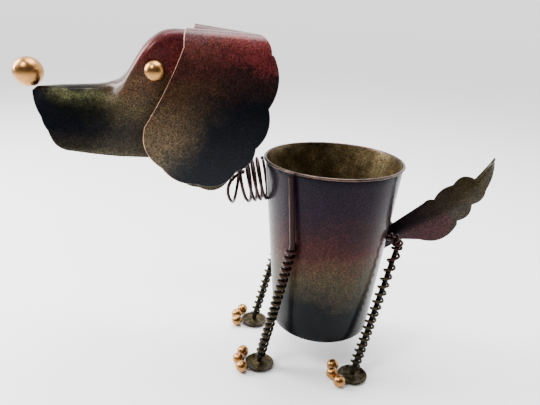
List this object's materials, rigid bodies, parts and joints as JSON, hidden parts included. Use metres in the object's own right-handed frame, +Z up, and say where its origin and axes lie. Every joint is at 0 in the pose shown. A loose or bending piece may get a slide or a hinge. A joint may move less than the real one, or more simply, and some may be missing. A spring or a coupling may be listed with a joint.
{
  "type": "scrap metal dog sculpture",
  "caption": "Dog-shaped sheet-metal planter: an open tapered pot on spring-wrapped rod legs, with a sprung neck, a folded sheet head and ears, and a scalloped tail.",
  "frame": {"origin": "middle of the underside of the whole dog's box, on the ground between its paws", "axes": "+Z up, -X the way the dog looks, -Y its left side"},
  "size_m": [0.4058, 0.1288, 0.2932],
  "materials": {
    "pot_patina": "glossy clear lacquer over a mottled patina, purple at the top, red-brown, olive gold and blue-black at the foot",
    "head_patina": "glossy clear lacquer over a mottled maroon, olive and blue-black patina",
    "ear_patina": "glossy clear lacquer over a mottled patina, red at the fold, olive brown in front and blue-black below",
    "tail_patina": "glossy clear lacquer over a mottled patina, purple at the root, red and grey-green to the tip",
    "rod_patina": "lacquered copper-brown rod, darker towards the foot",
    "wire_patina": "lacquered spring wire, copper brown to olive and black",
    "paw_patina": "rough dark olive with gold speckle",
    "satin_gold": "satin copper-gold balls"
  },
  "bodies": {
    "root": {"pot": "pot_patina", "head": "head_patina", "ear_left": "ear_patina", "ear_right": "ear_patina", "tail": "tail_patina", "neck_spring": "wire_patina", "leg_rod_front_left": "rod_patina", "leg_rod_front_right": "rod_patina", "leg_rod_rear_left": "rod_patina", "leg_rod_rear_right": "rod_patina", "leg_spring_front_left": "wire_patina", "leg_spring_front_right": "wire_patina", "leg_spring_rear_left": "wire_patina", "leg_spring_rear_right": "wire_patina", "paw_disc_front_left": "paw_patina", "paw_disc_front_right": "paw_patina", "paw_disc_rear_left": "paw_patina", "paw_disc_rear_right": "paw_patina", "toe_ball_front_left_1": "satin_gold", "toe_ball_front_left_2": "satin_gold", "toe_ball_front_left_3": "satin_gold", "toe_ball_front_right_1": "satin_gold", "toe_ball_front_right_2": "satin_gold", "toe_ball_front_right_3": "satin_gold", "toe_ball_rear_left_1": "satin_gold", "toe_ball_rear_left_2": "satin_gold", "toe_ball_rear_left_3": "satin_gold", "toe_ball_rear_right_1": "satin_gold", "toe_ball_rear_right_2": "satin_gold", "toe_ball_rear_right_3": "satin_gold", "nose_ball": "satin_gold", "eye_left": "satin_gold", "eye_right": "satin_gold"}
  },
  "joints": []
}
